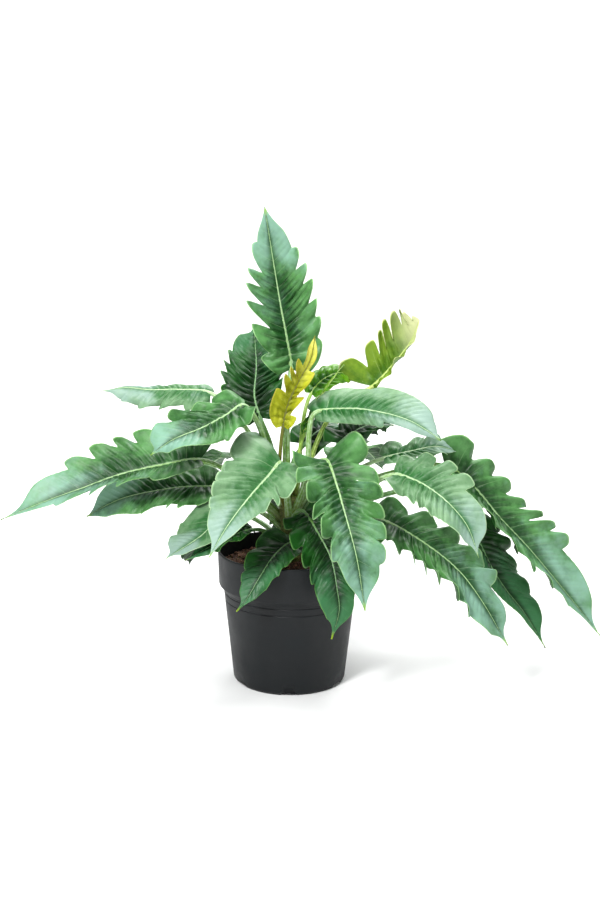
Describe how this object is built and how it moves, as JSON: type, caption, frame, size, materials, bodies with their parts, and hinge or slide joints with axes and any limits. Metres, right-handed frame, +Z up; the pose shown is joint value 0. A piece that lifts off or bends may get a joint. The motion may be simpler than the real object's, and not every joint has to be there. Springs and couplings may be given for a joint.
{
  "type": "potted philodendron",
  "caption": "Self-heading philodendron with long toothed leaves fanning from a short stem, in a round tapered nursery pot filled with soil.",
  "frame": {"origin": "centre of the pot's underside, on the surface it stands on", "axes": "+Z up along the pot's axis; +X towards the side with the longest leaf, -Y towards the front"},
  "size_m": [1.1209, 0.5538, 0.88],
  "materials": {
    "pot_plastic": "matte anthracite recycled plastic, finely pebbled",
    "soil_coir": "moist brown coir and bark crumbs",
    "stem_green": "fresh green stem with brown leaf scars",
    "leaf_green": "satin mid green leaf with a bluish sheen",
    "leaf_pale": "satin pale blue-green leaf",
    "leaf_dark": "satin dark green leaf",
    "leaf_bright": "glossy bright green young leaf",
    "leaf_yellow": "yellow-green fading leaf",
    "sheath_brown": "dry papery brown sheath"
  },
  "bodies": {
    "root": {"pot": "pot_plastic", "soil": "soil_coir", "stem": "stem_green", "leaf_top": "leaf_green", "leaf_back_left_upright": "leaf_dark", "leaf_left_curled": "leaf_pale", "leaf_left_middle": "leaf_green", "leaf_left_long": "leaf_green", "leaf_left_lower": "leaf_dark", "leaf_front_left_big": "leaf_pale", "leaf_left_low": "leaf_pale", "leaf_left_low_dark": "leaf_dark", "leaf_front_low": "leaf_dark", "leaf_front_middle": "leaf_dark", "leaf_front_centre": "leaf_green", "leaf_right_blue": "leaf_pale", "leaf_right_top_pale": "leaf_pale", "leaf_right_back": "leaf_pale", "leaf_right_far": "leaf_green", "leaf_right_long_dark": "leaf_dark", "leaf_right_long_ruffled": "leaf_green", "leaf_glossy": "leaf_bright", "leaf_unfurling": "leaf_bright", "leaf_centre_right": "leaf_dark", "leaf_centre_dark": "leaf_dark", "leaf_young_yellow": "leaf_yellow", "leaf_spear": "leaf_bright", "leaf_rear_right_high": "leaf_green", "leaf_rear_left_high": "leaf_green", "leaf_rear_middle": "leaf_dark", "leaf_rear_right_low": "leaf_dark", "leaf_rear_left_low": "leaf_dark", "sheath_left": "sheath_brown", "sheath_front": "sheath_brown", "sheath_rear": "sheath_brown"}
  },
  "joints": []
}
